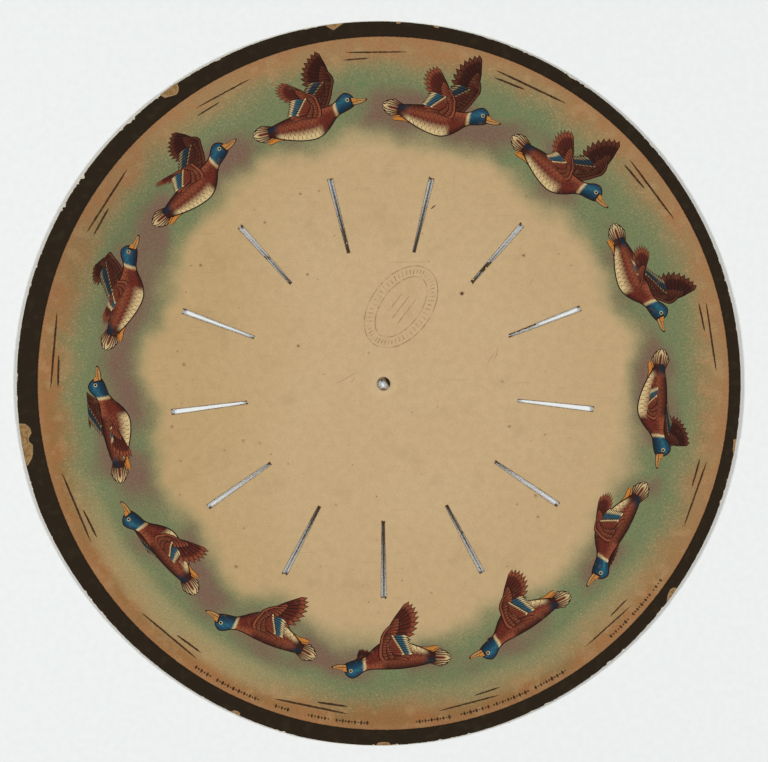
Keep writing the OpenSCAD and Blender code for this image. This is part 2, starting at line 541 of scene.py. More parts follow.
def plumage(at):
    """Dark back, light shoulder, chestnut breast, cream belly, white collar and teal head."""
    x = at[:, 0]
    middle, above, below = body_at(x)
    level = np.where(at[:, 1] > middle, (at[:, 1] - middle) / above, (at[:, 1] - middle) / below)
    back = blend_ink(CHESTNUT_LIGHT, CHESTNUT_DARK, (level - 0.2) / 0.75)
    flank = blend_ink(CREAM, CHESTNUT, (level + 0.75) / 0.5)
    flank = blend_ink(flank, CHESTNUT_LIGHT, (level + 0.25) / 0.35)
    ink = np.where((level > 0.1)[:, None], back, flank)
    breast = blend_ink(CHESTNUT_DARK, CHESTNUT, (level + 1) / 0.6)
    breast = blend_ink(breast, CHESTNUT_LIGHT, (level - 0.1) / 0.5)
    ink = blend_ink(ink, breast, (x - 3.2) / 2.2)
    rump = blend_ink(CHESTNUT_DARK, TEAL_DARK, level + 0.4)
    ink = blend_ink(ink, rump, (-x - 9.5) / 2.5)
    head = blend_ink(TEAL_DARK, TEAL, (level + 0.8) / 0.7)
    head = blend_ink(head, TEAL_LIGHT, 1 - np.abs(level - 0.35) / 0.35)
    collar = blend_ink(CREAM_SHADE, CREAM, (level + 0.8) / 0.8)
    ink = np.where((x > 10.5)[:, None], collar, ink)
    return np.where((x > 11.4)[:, None], head, ink)


def feather_outline(root, angle, length, width, margin=0.0):
    """A feather lying flat: narrow at its root, widest beyond the middle, and a rounded tip."""
    t = np.linspace(0, 1, 7)
    half = np.clip(1.25 * np.sqrt(np.clip(1 - ((t - 0.45) / 0.56) ** 4, 0, 1)), 0, 1)
    half = half * width / 2 * (0.55 + 0.45 * np.clip(t / 0.3, 0, 1)) + margin
    half[-1] = 0
    run = direction(angle)
    side = np.array([-run[1], run[0]])
    shaft = np.array(root) + (t * (length + margin))[:, None] * run
    return np.vstack([shaft + half[:, None] * side, (shaft - half[:, None] * side)[-2::-1]])


class Wing:
    """One wing at one moment of the beat. Its outline is drawn flat, as (out along the wing,
    back from its leading edge), bent up or down along its length, and seen from the side."""

    ROOT = (6.0, 2.4, 1.6)
    SPAN = 32.0
    WRIST = np.array([12.0, -2.5])
    BEND_START, BEND_LENGTH = 9.5, 5
    SEEN_FROM_FRONT = radians(-20)
    SEEN_FROM_ABOVE = radians(15)

    def __init__(self, beat, near):
        self.side = 1 if near else -1
        arm_swing, hand_swing = (40, 54) if near else (30, 42)
        turn = 2 * pi * beat
        arm = radians(12 + arm_swing * cos(turn))
        hand = radians(4 + hand_swing * cos(turn - radians(38)))
        self.fold = radians(8 + 26 * max(0.0, -sin(turn - radians(10))))
        self.out = np.linspace(0, self.SPAN, 65)
        bend = np.clip((self.out - self.BEND_START) / self.BEND_LENGTH, 0, 1)
        slope = arm + (hand - arm) * bend * bend * (3 - 2 * bend)
        step = self.out[1]
        middle = (slope[1:] + slope[:-1]) / 2
        self.aside = np.concatenate([[0], np.cumsum(np.cos(middle) * step)])
        self.lift = np.concatenate([[0], np.cumsum(np.sin(middle) * step)])

    def seen(self, points):
        points = np.asarray(points, float)
        aside = self.side * (self.ROOT[1] + np.interp(points[:, 0], self.out, self.aside))
        lift = self.ROOT[2] + np.interp(points[:, 0], self.out, self.lift)
        back = -points[:, 1]
        front, above = self.SEEN_FROM_FRONT, self.SEEN_FROM_ABOVE
        across = self.ROOT[0] + back * cos(front) + aside * sin(front)
        depth = aside * cos(front) - back * sin(front)
        return np.c_[across, lift * cos(above) - depth * sin(above)]

    def folded(self, points):
        """Turns the hand back about the wrist."""
        turn = np.array([[cos(self.fold), -sin(self.fold)], [sin(self.fold), cos(self.fold)]])
        return (np.asarray(points, float) - self.WRIST) @ turn.T + self.WRIST


def wing_shapes(beat, near):
    wing = Wing(beat, near)
    shapes = []

    def dimmed(ink):
        return ink if near else tuple(0.4 * c + 0.1 * d for c, d in zip(ink, LINE))

    def feather(root, angle, length, width, inks, hand=False, shaft=True, tipped=None):
        root = np.array(root, float)
        if hand:
            root = wing.folded([root])[0]
            angle = angle + wing.fold
        run = direction(angle)
        start, end = wing.seen([root, root + length * run])
        shapes.append((wing.seen(feather_outline(root, angle, length, width, FEATHER_LINE)), LINE))
        vane = wing.seen(feather_outline(root, angle, length - 0.1, width - 0.12))
        first, last = dimmed(inks[0]), dimmed(inks[1])
        if tipped:
            reach = (end - start) + 1e-6
            tip = graded_ink(first, dimmed(tipped), start + 0.72 * reach, start + 0.80 * reach)
            shapes.append((vane, tip))
            vane = wing.seen(feather_outline(root, angle, length * 0.8, width * 0.7))
        shapes.append((vane, graded_ink(first, last, start, end + 1e-6)))
        if shaft:
            side = np.array([-run[1], run[0]]) * HALF_RIB
            far = root + run * length * 0.85
            rib = [root + side, far + side * 0.3, far - side * 0.3, root - side]
            shapes.append((wing.seen(rib), LINE))

    armpit = np.array([0.4, 1.0])
    elbow = np.array([4.5, 4.2])
    hand_end = np.array([16.2, -1.6])
    # Long feathers of the hand and of the arm, and those next to the body
    for t in np.linspace(1, 0, 9):
        root = wing.WRIST + (hand_end - wing.WRIST) * t
        length = 9.6 + 3.0 * sin(0.75 * pi * min(1, 0.9 * t + 0.1))
        angle = radians(84 - 70 * t ** 0.9)
        feather(root, angle, length, 1.75, (CHESTNUT_DARK, CHESTNUT), True, True, CHESTNUT_LIGHT)
    for t in np.linspace(1, 0, 9):
        root = elbow + (wing.WRIST - elbow) * t
        feather(root, radians(92 - 6 * t), 6.6 + 2.6 * t, 1.55, (TEAL, TEAL_LIGHT), False, True, CREAM)
    for i in (2, 1, 0):
        root = armpit + (elbow - armpit) * i / 3
        feather(root, radians(97 - i), 8.6 - 0.5 * i, 2.0, (CHESTNUT_DARK, CHESTNUT_LIGHT))
    # Their coverts, and two rows of small feathers in front of them
    for t in np.linspace(1, 0, 7):
        root = wing.WRIST + (hand_end - wing.WRIST) * t
        feather(root, radians(84 - 62 * t), 4.6, 1.5, (CHESTNUT, CHESTNUT_LIGHT), True, False)
    for t in np.linspace(1, 0, 9):
        root = elbow * 0.9 + (wing.WRIST - elbow * 0.9) * t + (0, -0.2)
        feather(root, radians(92 - 6 * t), 4.3, 1.55, (CHESTNUT, CHESTNUT_LIGHT), False, False, CREAM)
    for row in (0, 1):
        for i in range(8 - row, -1, -1):
            t = (i + 0.5 * row) / 8
            lead = np.array([0.3, -0.2]) * (1 - t) + wing.WRIST * t
            trail = elbow * (1 - t) + wing.WRIST * t
            root = lead + (0, -1.4 * sin(pi * t)) + (trail - lead) * (0.42 - 0.36 * row)
            feather(root, radians(90 - 8 * t), 2.9, 1.7, (CHESTNUT_DARK, CHESTNUT_LIGHT), False, False)
    # The leading edge
    arm = flowing([(0.0, 0.6), (1.5, -0.7), (5.0, -1.9), (9.0, -2.6), (12.2, -3.1)], 5)
    hand = wing.folded(flowing([(12.2, -3.1), (14.2, -2.9), (16.6, -1.9), (17.6, -0.9)], 5))
    front = np.vstack([arm, hand[1:]])
    width = np.linspace(0.95, 0.3, len(front))[:, None]
    side = outward(front)
    rim = np.vstack([front - side * 0.42, (front + side * (width + 0.3))[::-1]])
    fill = np.vstack([front - side * 0.02, (front + side * width)[::-1]])
    shapes.append((wing.seen(rim), LINE))
    shapes.append((wing.seen(fill), dimmed(CHESTNUT_LIGHT)))
    return shapes


def round_dot(x, y, radius, sides):
    turns = np.arange(sides) * 2 * pi / sides
    return np.c_[x + radius * np.cos(turns), y + radius * np.sin(turns)]


def scallop(x, y, radius, line_width):
    """The edge of one small breast feather, an arc that thins out to its ends."""
    turns = pi + np.radians(np.linspace(-75, 75, 7))
    arc = np.c_[np.cos(turns), np.sin(turns)]
    inner = arc[1:-1] * (radius - line_width)
    return np.vstack([arc * radius, inner[::-1]]) + (x, y)


def duck_shapes(beat):
    """Every outline of one duck, from the far wing to the near one, each with its ink."""
    shapes = wing_shapes(beat, False)
    # Tail feathers, the outer ones first, and the feet
    for k in (3, -3, 2, -2, 1, -1, 0):
        angle = pi + radians(5 * k - 4)
        root = np.array([-11.0, 0.5 - 0.22 * k])
        length = 8.6 - 0.25 * k * k
        shapes.append((feather_outline(root, angle, length, 1.9, FEATHER_LINE), LINE))
        vane = graded_ink(CHESTNUT, CREAM, root + (-2, 0), root + (-8, 0))
        shapes.append((feather_outline(root, angle, length - 0.1, 1.75), vane))
        middle = graded_ink(CHESTNUT_DARK, CHESTNUT, root, root + (-7, 0))
        shapes.append((feather_outline(root, angle, length - 1.5, 0.8), middle))
    for drop in (0.35, -0.25):
        foot = flowing([(-6.0, -2.4), (-9.5, -2.5), (-12.0, -2.2), (-15.0, -2.7)], 4) + (0, drop)
        half = np.interp(np.linspace(0, 1, len(foot)), [0, 0.5, 0.8, 1], [0.5, 0.35, 0.7, 0.25])
        for grow, ink in ((0.2, LINE), (0.0, OCHRE)):
            up = np.c_[np.zeros(len(foot)), half + grow]
            shapes.append((np.vstack([foot + up, (foot - up)[::-1]]), ink))
    # Body, bill, eye and breast feathers
    shapes.append((body_outline(BODY_LINE), LINE))
    shapes.append((body_outline(0.0), plumage))
    bill = flowing([(17.2, 4.5), (18.2, 4.2), (19.4, 3.5), (20.9, 3.1), (21.9, 2.9), (21.9, 2.4),
        (20.6, 2.0), (19.0, 1.9), (17.4, 2.1)], 3)
    middle = bill.mean(0)
    shapes.append((middle + (bill - middle) * 1.24, LINE))
    shapes.append((bill, graded_ink(CREAM_SHADE, OCHRE, (19, 1.6), (19, 3.6))))
    gape = [(17.4, 2.95), (19.4, 2.9), (21.6, 2.62), (21.6, 2.52), (19.4, 2.7), (17.4, 2.75)]
    shapes.append((np.array(gape), LINE))
    shapes.append((round_dot(18.9, 3.55, 0.16, 8), LINE))
    shapes.append((round_dot(15.8, 4.2, 0.62, 12), CREAM))
    shapes.append((round_dot(15.85, 4.2, 0.42, 12), LINE))
    for row in range(SCALLOP_ROWS):
        level = 0.55 - 0.27 * row
        for x in np.arange(9.3, -9, -SCALLOP_PITCH) - (0.8 if row % 2 else 0):
            middle, above, below = body_at(x)
            y = middle + level * (above if level > 0 else below)
            shapes.append((scallop(x, y, *SCALLOP), CHESTNUT_DARK if level > -0.5 else CHESTNUT))
    shapes += wing_shapes(beat, True)
    return shapes


def inside(outline, at):
    """Which points an outline winds round."""
    x, y = at.T
    turns = np.zeros(len(at), int)
    for (x0, y0), (x1, y1) in zip(outline, np.roll(outline, -1, 0)):
        left = (x1 - x0) * (y - y0) - (x - x0) * (y1 - y0)
        turns += ((y0 <= y) & (y < y1) & (left > 0)).astype(int)
        turns -= ((y1 <= y) & (y < y0) & (left < 0)).astype(int)
    return turns != 0


def new_piece(name, points, faces, finish):
    """A plain object in one finish, from points in millimetres."""
    mesh = bpy.data.meshes.new(name)
    mesh.from_pydata((np.array(points) * MM).tolist(), [], faces)
    mesh.materials.append(finish)
    piece = bpy.data.objects.new(name, mesh)
    bpy.context.scene.collection.objects.link(piece)
    return piece


def ink_piece(name, shapes, spacing, place, finish):
    """Lays overlapping outlines on the face as one flat piece with no layers: each triangle takes
    the topmost outline's ink, plain or worked out by place. Extra points let it turn smoothly."""
    points, borders = [], []
    for outline, _ in shapes:
        first, count = len(points), len(outline)
        borders += [(first + i, first + (i + 1) % count) for i in range(count)]
        points += np.asarray(outline, float).tolist()
    low, high = np.min(points, 0), np.max(points, 0)
    grid = np.meshgrid(np.arange(low[0], high[0], spacing), np.arange(low[1], high[1], spacing))
    points += np.c_[grid[0].ravel(), grid[1].ravel()].tolist()
    found, _, triangles = delaunay_2d_cdt(points, borders, [], 0, 1e-4, False)[:3]
    flat = np.array([tuple(p) for p in found])
    triangles = np.array(triangles)
    (x1, y1), (x2, y2) = (flat[triangles[:, i]].T - flat[triangles[:, 0]].T for i in (1, 2))
    triangles = triangles[np.abs(x1 * y2 - y1 * x2) > 1e-6]
    middles = flat[triangles].mean(1)
    tops = np.full(len(triangles), -1)
    for top in range(len(shapes) - 1, -1, -1):
        outline = np.asarray(shapes[top][0])
        near = (tops < 0) & (middles > outline.min(0)).all(1) & (middles < outline.max(0)).all(1)
        rows = np.flatnonzero(near)
        tops[rows[inside(outline, middles[rows])]] = top
    triangles, tops = triangles[tops >= 0], tops[tops >= 0]
    colours = np.zeros((len(triangles), 3, 4))
    for top in np.unique(tops):
        rows = np.flatnonzero(tops == top)
        ink = shapes[top][1]
        if callable(ink):
            ink = ink(flat[triangles[rows]].reshape(-1, 2)).reshape(-1, 3, 4)
        colours[rows] = ink
    used, triangles = np.unique(triangles, return_inverse=True)
    piece = new_piece(name, place(flat[used]), triangles.reshape(-1, 3).tolist(), finish)
    layer = piece.data.color_attributes.new("ink", "FLOAT_COLOR", "CORNER")
    layer.data.foreach_set("color", np.clip(colours, 0, 1).ravel())
    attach(piece, BODY)


def on_the_face(flat):
    return np.c_[flat, np.full(len(flat), face_top + INK_HEIGHT)]


def on_the_ring(angle, ring, scale):
    """Places a flat drawing on the face, its up away from the middle, at an angle of the ring."""
    out = direction(radians(angle))
    turned = np.array([(out[1], -out[0]), out]) * scale
    return lambda flat: on_the_face(flat @ turned + ring * out + PRINT_MIDDLE)


printed_ink, at = new_finish("printed_ink")
ink = add("ShaderNodeAttribute", out="Color", tree=at.tree, attribute_name="ink")
grain = cloud(at, 0.5, 80, 2.0)
worn = fade(cloud(at, 3.0, 81, 4.0), 0.55, 0.8, 0.0, 0.25)
colour = scaled(ink, fade(grain, 0.25, 0.75, 0.8, 1.25))
colour = tint(worn, colour, (140, 100, 66))
lay_on(colour, grain, (0.62, 0.5), 0.015)

for i in range(slot_count):
    beat = FIRST_BEAT + i / slot_count
    bob = BOB * cos(2 * pi * beat + BOB_LAG)
    place = on_the_ring(FIRST_DUCK - i * slot_step, DUCK_RING + bob, DUCK_SCALE)
    ink_piece(f"duck_{i + 1:02}", duck_shapes(beat), GRADING_PITCH, place, printed_ink)


# Cloud streaks.
# Long tapered crayon strokes printed near the rim, a long and a short one in each gap between two
# ducks. One stroke is drawn and laid round the ring, and then its edges break up on the stone.

def new_layout(name, sizes):
    """A Geometry Nodes tree with one named input for each size, and what its inputs give."""
    tree = bpy.data.node_groups.new(name, "GeometryNodeTree")
    kinds = {int: "NodeSocketInt", float: "NodeSocketFloat", tuple: "NodeSocketVector"}
    tree.interface.new_socket("Border", in_out="INPUT", socket_type="NodeSocketGeometry")
    for label, size in sizes.items():
        tree.interface.new_socket(label, in_out="INPUT", socket_type=kinds[type(size)])
    tree.interface.new_socket("Finish", in_out="INPUT", socket_type="NodeSocketMaterial")
    tree.interface.new_socket("Shapes", in_out="OUTPUT", socket_type="NodeSocketGeometry")
    given = tree.nodes.new("NodeGroupInput").outputs
    return tree, {socket.name: Field(socket) for socket in given}


def xyz(x, y, z=0.0):
    return add("ShaderNodeCombineXYZ", {0: x, 1: y, 2: z})


def here(tree):
    """Where each point of a layout is."""
    return add("GeometryNodeInputPosition", tree=tree)


def count_up(tree):
    """The number of each point of a layout, from 0."""
    return add("GeometryNodeInputIndex", tree=tree)


def strip(tree, columns, rows):
    """A rectangle, one long and one wide, for a layout to bend and stretch."""
    return add("GeometryNodeMeshGrid", {0: 1.0, 1: 1.0, 2: columns, 3: rows}, tree=tree)


def on_oval(turn, long, wide):
    """A point of an oval, at an angle."""
    return xyz(long * cosine(turn), wide * sine(turn))


def moved(shapes, to):
    return add("GeometryNodeSetPosition", {0: shapes, 2: to})


def random_number(low, high, seed):
    return add("FunctionNodeRandomValue", {2: low, 3: high, 8: seed}, out=1, data_type="FLOAT")


def laid(shape, points, scale, angle=None, chosen=None):
    """The shape on every point or on the chosen ones, scaled and turned flat by an angle."""
    inputs = {0: points, 2: shape, 6: scale}
    if angle is not None:
        inputs[5] = add("FunctionNodeEulerToRotation", {0: xyz(0.0, 0.0, angle)})
    if chosen is not None:
        inputs[1] = chosen
    return add("GeometryNodeRealizeInstances", {0: add("GeometryNodeInstanceOnPoints", inputs)})


def joined(first, *others):
    join = add("GeometryNodeJoinGeometry", {0: first})
    for shape in others:
        feed(join.socket.node, {0: shape})
    return join


def frayed(shapes, grain, reach, seed):
    """Moves each point flat by up to a reach, so that straight edges turn ragged."""
    at = here(shapes.tree)
    aside = [cloud(at, grain, seed + i, 1.0) * 4.0 - 2.0 for i in (0, 1)]
    return add("GeometryNodeSetPosition", {0: shapes, 3: scaled(xyz(*aside), reach)})


def end_layout(given, shapes):
    """Ends a tree: its shapes are scaled to metres, put in their place and given their finish."""
    inputs = {0: shapes, 1: scaled(given["Place"], MM), 3: (MM, MM, MM)}
    shapes = add("GeometryNodeTransform", inputs)
    shapes = add("GeometryNodeRealizeInstances", {0: shapes})
    shapes = add("GeometryNodeSetMaterial", {0: shapes, 2: given["Finish"]})
    feed(shapes.tree.nodes.new("NodeGroupOutput"), {0: shapes})


def lay_out(name, tree, sizes, finish, border=None):
    """Runs a tree once with its sizes and keeps what it makes as one plain piece on the face."""
    piece = bpy.data.objects.new(name, border or bpy.data.meshes.new(name))
    bpy.context.scene.collection.objects.link(piece)
    layout = piece.modifiers.new("layout", "NODES")
    layout.node_group = tree
    values = dict(sizes, Finish=finish)
    for socket in tree.interface.items_tree:
        if socket.name in values:
            layout[socket.identifier] = values[socket.name]
    made = bpy.data.meshes.new_from_object(piece.evaluated_get(bpy.context.evaluated_depsgraph_get()))
    piece.modifiers.clear()
    piece.data = made
    made.name = name
    made.materials.clear()
    made.materials.append(finish)
    made.polygons.foreach_set("material_index", [0] * len(made.polygons))
    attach(piece, BODY)


line_plate, at = new_finish("line_plate")
grain = cloud(at, 0.45, 82, 1.0)
thin = fade(cloud(at, 2.2, 83, 3.0), 0.35, 0.7)
colour = tint(thin, (44, 29, 16), (74, 50, 30))
colour = tint(fade(grain, 0.52, 0.7, 0.0, 0.4), colour, (112, 82, 52))
lay_on(colour, grain, (0.66, 0.55), 0.015)

sizes = {
    "Place": (*PRINT_MIDDLE, face_top + INK_HEIGHT), "Count": slot_count, "Step": radians(slot_step),
    "First angle": radians(FIRST_DUCK - slot_step / 2 - 1.3), "Ring": 139.4, "Length": 30.0,
    "Thickness": 0.82, "Second ring": 136.9, "Second turn": radians(3.6), "Second share": 0.42,
    "Raggedness": 0.1, "Seed": 3}
tree, given = new_layout("cloud_streaks", sizes)
across, up, _ = parts_of(here(tree))
taper = 1.0 - abs(across * 2.0) ** 5.0
high = up * given["Thickness"] * taper
stroke = moved(strip(tree, 49, 3), xyz(across * given["Length"], high))
angle = given["First angle"] - count_up(tree) * given["Step"]
second = (given["Second ring"], given["Second turn"], given["Second share"])
pairs = []
for ring, turn, share in ((given["Ring"], 0.0, 1.0), second):
    around = angle + turn
    points = add("GeometryNodePoints", {0: given["Count"], 1: on_oval(around, ring, ring)})
    tilt = around + random_number(-pi / 2 - 0.02, -pi / 2 + 0.02, given["Seed"])
    longer = random_number(0.8, 1.12, given["Seed"]) * share
    thicker = random_number(0.65, 1.1, given["Seed"])
    pairs.append(laid(stroke, points, xyz(longer, thicker, 1.0), tilt))
streaks = frayed(joined(*pairs), 0.8, given["Raggedness"], 84)
end_layout(given, streaks)
lay_out("cloud_streaks", tree, sizes, line_plate)


# Border ornament.
# Small printed lozenges with dots between them, in broken runs that follow the lower rim.
# One of each is drawn and laid along the runs.

ORNAMENT_RING = 143.2
# Each run's first and last angle, and the step from point to point along it, in degrees
RUN_STEP = 0.5
ORNAMENT_RUNS = [
    (236.6, 239.4), (240.8, 248.4), (251.6, 253.7), (257.3, 260.7), (262.1, 267.3), (275.6, 281.2),
    (283.3, 288.0), (289.0, 295.2), (296.6, 302.3), (312.0, 316.0), (317.3, 321.5), (322.6, 324.6)]


def arcs(ring, runs):
    """Lines along a ring, one for each run of angles, for a layout to follow."""
    spots, links = [], []
    for start, end in runs:
        steps = max(2, round((end - start) / RUN_STEP))
        for i in range(steps + 1):
            angle = radians(start + (end - start) * i / steps)
            if i:
                links.append((len(spots) - 1, len(spots)))
            spots.append((ring * cos(angle), ring * sin(angle), 0))
    mesh = bpy.data.meshes.new("runs")
    mesh.from_pydata(spots, links, [])
    return mesh


sizes = {
    "Place": (*PRINT_MIDDLE, face_top + INK_HEIGHT), "Pitch": 2.5, "Lozenge width": 1.35,
    "Lozenge height": 2.1, "Dot": 0.42, "Raggedness": 0.06, "Seed": 5}
tree, given = new_layout("border_ornament", sizes)
runs = add("GeometryNodeMeshToCurve", {0: given["Border"]})
points = add("GeometryNodeCurveToPoints", {0: runs, 2: given["Pitch"] / 2.0}, mode="LENGTH")
across, up, _ = parts_of(here(tree))
angle = calc("ARCTAN2", up, across) - pi / 2
odd = count_up(tree) % 2.0
lozenge = add("GeometryNodeMeshCircle", {0: 4, 1: 0.5}, tree=tree, fill_type="NGON")
lozenge_size = xyz(given["Lozenge width"], given["Lozenge height"], 1.0)
lozenge = add("GeometryNodeTransform", {0: lozenge, 3: lozenge_size})
dot = add("GeometryNodeMeshCircle", {0: 8, 1: given["Dot"]}, fill_type="NGON")
size = xyz(*[random_number(0.8, 1.1, given["Seed"])] * 2, 1.0)
marks = joined(laid(lozenge, points, size, angle, 1.0 - odd), laid(dot, points, size, chosen=odd))
marks = frayed(marks, 0.6, given["Raggedness"], 86)
end_layout(given, marks)
lay_out("border_ornament", tree, sizes, line_plate, arcs(ORNAMENT_RING, ORNAMENT_RUNS))


# Stamp mark.
# A worn rubber stamp's impression: two thin ovals with plain ticks between them and ruled lines
# inside, in a brownish ink that has nearly gone. It sits right of and above the hole.

STAMP_MIDDLE = (7.4, 32.4)
STAMP_TURN = 0.92

stamp_ink, at = new_finish("stamp_ink")
patchy = fade(cloud(at, 2.6, 87, 4.0), 0.34, 0.66, 0.1, 0.58)
colour = tint(patchy, printed_face(at), (110, 76, 62))
grain = cloud(at, 0.5, 88, 2.0)
lay_on(colour, grain, (0.72, 0.6), 0.01)

sizes = {
    "Place": (*STAMP_MIDDLE, face_top + INK_HEIGHT), "Turn": STAMP_TURN, "Half length": 19.4,
    "Half width": 12.6, "Border width": 4.6, "Line": 0.42, "Ticks": 52, "Tick length": 2.3, "Rules": 3,
    "Rule length": 15.0, "Rule pitch": 3.1, "Raggedness": 0.06, "Seed": 7}
tree, given = new_layout("stamp_mark", sizes)
across, up, _ = parts_of(here(tree))


def along_border(turn, inset):
    """A point of the stamp's outer oval, or of one inside it."""
    return on_oval(turn, given["Half length"] + inset, given["Half width"] + inset)


line = up * given["Line"]
ovals = []
for share in (0.0, 1.0):
    spots = along_border(across * (-2 * pi), line - given["Border width"] * share)
    ovals.append(moved(strip(tree, 161, 2), spots))
bar = strip(tree, 9, 2)
index = count_up(tree)
turn = index * (2 * pi / given["Ticks"])
spots = along_border(turn, given["Border width"] * -0.5)
points = add("GeometryNodePoints", {0: given["Ticks"], 1: spots})
tick_size = xyz(given["Tick length"] * random_number(0.7, 1.1, given["Seed"]), given["Line"], 1.0)
ticks = laid(bar, points, tick_size, turn)
row = index - (given["Rules"] - 1.0) / 2.0
points = add("GeometryNodePoints", {0: given["Rules"], 1: xyz(0.0, row * given["Rule pitch"])})
rule_size = xyz(given["Rule length"] * random_number(0.6, 1.0, given["Seed"]), given["Line"], 1.0)
rules = laid(bar, points, rule_size)
mark = add("GeometryNodeTransform", {0: joined(*ovals, ticks, rules), 2: xyz(0.0, 0.0, given["Turn"])})
mark = frayed(mark, 0.9, given["Raggedness"], 89)
end_layout(given, mark)
lay_out("stamp_mark", tree, sizes, stamp_ink)


# Pen and pencil marks.
# A short pen stroke high on the right, a thin pencil arc left of the hole and two scratches
# right of it, each a tapered line on the paper.

def tapered(points, width):
    """A stroke that thins out to both ends."""
    line = flowing(points, 5)
    half = width / 2 * np.sin(np.linspace(0.12, pi - 0.12, len(line)))[:, None]
    side = outward(line)
    return np.vstack([line + side * half, (line - side * half)[::-1]])


PEN = swatch(66, 48, 34)
PENCIL = swatch(150, 126, 96)
pen_marks = [
    (tapered([(19.8, 73.4), (20.9, 74.4), (22.0, 75.3)], 0.55), PEN),
    (tapered([(-20.8, -0.3), (-17.0, 1.6), (-13.4, 3.6), (-10.8, 4.7)], 0.22), PENCIL),
    (tapered([(43.2, 7.4), (45.0, 10.6), (46.6, 13.0)], 0.2), PENCIL),
    (tapered([(46.0, 9.2), (47.6, 12.4), (48.0, 15.8)], 0.18), PENCIL),
    (tapered([(-13.9, 0.4), (-12.6, 1.7), (-12.1, 3.1)], 0.2), PENCIL),
    (tapered([(61.5, 41.0), (62.3, 43.2), (63.8, 45.0)], 0.18), PENCIL)]
ink_piece("pen_marks", pen_marks, 1.0, on_the_face, printed_ink)


# Age spots.
# Foxing: iron in the paper has rusted into small brown spots with a darker heart, some large
# and listed one by one, and many tiny ones scattered over the unprinted middle.

LARGE_SPOTS = [
    (33, 38, 2.4, 1.0), (59, 54, 2.0, 0.6), (-35, 80, 1.8, 0.5), (-50, 68, 1.8, 0.5), (-77, 50, 2.1, 0.6),
    (-32, 46, 1.9, 0.5), (-36, 16, 2.1, 0.6), (-84, 8, 2.1, 0.45), (-62, -77, 2.4, 0.5), (53, -18, 2.0, 0.5),
    (64, -47, 2.3, 0.45), (65, -56, 1.7, 0.45), (-89, -18, 1.9, 0.45), (-59, -24, 2.0, 0.35),
    (-52, -25, 1.8, 0.3), (50, 1, 1.6, 0.35), (60, 79, 1.7, 0.3), (-67, -28, 1.6, 0.3), (52, -84, 1.6, 0.35),
    (12, -12, 1.4, 0.3), (-20, -51, 1.5, 0.3), (20, -88, 1.5, 0.3), (16, -38, 1.3, 0.25), (-6, 13, 1.7, 0.3)]

foxed_paper, at = new_finish("foxed_paper")
heart = add("ShaderNodeAttribute", out="Fac", tree=at.tree, attribute_name="heart")
strength = add("ShaderNodeAttribute", out="Fac", tree=at.tree, attribute_name="strength")
blur = cloud(at, 0.5, 91, 2.0) * 0.9 - 0.45
rust = fade(heart + blur, 0.12, 0.75) * strength
colour = tint(rust, printed_face(at), (82, 54, 34))
grain = cloud(at, 0.6, 92, 2.0)
lay_on(colour, grain, (0.72, 0.58), 0.01)


def stored(points, name, value):
    """Keeps a number on each point for the finish to read."""
    inputs = {0: points, 2: name, 3: value}
    return add("GeometryNodeStoreNamedAttribute", inputs, data_type="FLOAT", domain="POINT")


spots = bpy.data.meshes.new("age_spots")
spots.from_pydata([(x, y, 0) for x, y, _, _ in LARGE_SPOTS], [], [])
for label, values in (("width", [s[2] for s in LARGE_SPOTS]), ("strength", [s[3] for s in LARGE_SPOTS])):
    spots.attributes.new(label, "FLOAT", "POINT").data.foreach_set("value", values)

# Spots lie just below the ink
SPOT_HEIGHT = 0.015

sizes = {
    "Place": (0.0, 0.0, face_top + SPOT_HEIGHT), "Small spots": 170, "Reach": 100.0, "Spread": 1.12,
    "Raggedness": 0.12, "Seed": 11}
tree, given = new_layout("age_spots", sizes)
heart = 1.0 - size_of(here(tree)) * 2.0
disc = add("GeometryNodeMeshCircle", {0: 12, 1: 0.5}, tree=tree, fill_type="TRIANGLE_FAN")
disc = stored(disc, "heart", heart)
far = calc("SQRT", random_number(0.0, 1.0, given["Seed"])) * given["Reach"]
turn = random_number(0.0, 2 * pi, given["Seed"] + 1.0)
points = add("GeometryNodePoints", {0: given["Small spots"], 1: on_oval(turn, far, far)})
chance = random_number(0.0, 1.0, given["Seed"] + 2.0) ** 2.5
points = stored(points, "strength", fade(chance, 0.0, 1.0, 0.12, 0.5))
small = fade(chance, 0.0, 1.0, 0.5, 1.2) * given["Spread"]
tiny = laid(disc, points, xyz(small, small, 1.0), turn)
width = add("GeometryNodeInputNamedAttribute", {0: "width"}, tree=tree, data_type="FLOAT")
width = width * given["Spread"]
large = laid(disc, given["Border"], xyz(width, width, 1.0), turn)
rusted = frayed(joined(large, tiny), 0.9, given["Raggedness"], 93)
end_layout(given, rusted)
lay_out("age_spots", tree, sizes, foxed_paper, spots)


# Slot ends.
# The slots were cut with a narrow chisel that ran past their corners, so each corner has a small
# dark nick, laid mostly over the slot's opening, where it is also painted shade in the slot's
# corner. One nick is drawn and laid at every corner.

def grained_finish(name, size, seed, share, first, second, depth):
    """Rough paper or dirt: two colours mixed by a fine grain, which also gives it relief."""
    finish, at = new_finish(name)
    grain = cloud(at, size, seed, 3.0)
    lay_on(tint(fade(grain, *share), first, second), grain, (0.95, 0.8), depth)
    return finish


# How far worn and dirty places lie above the face, below the ink
WEAR_HEIGHT = 0.012

# Dark nicks, which are also painted shade in the slots' corners
nick_dirt_and_shade = grained_finish("nick_dirt_and_shade", 0.5, 94, (0.35, 0.65), (52, 35, 19), (92, 66, 40), 0.08)

# How far a nick lies from the slot's middle line, as a share of the slot's width
NICK_ASIDE = 0.36

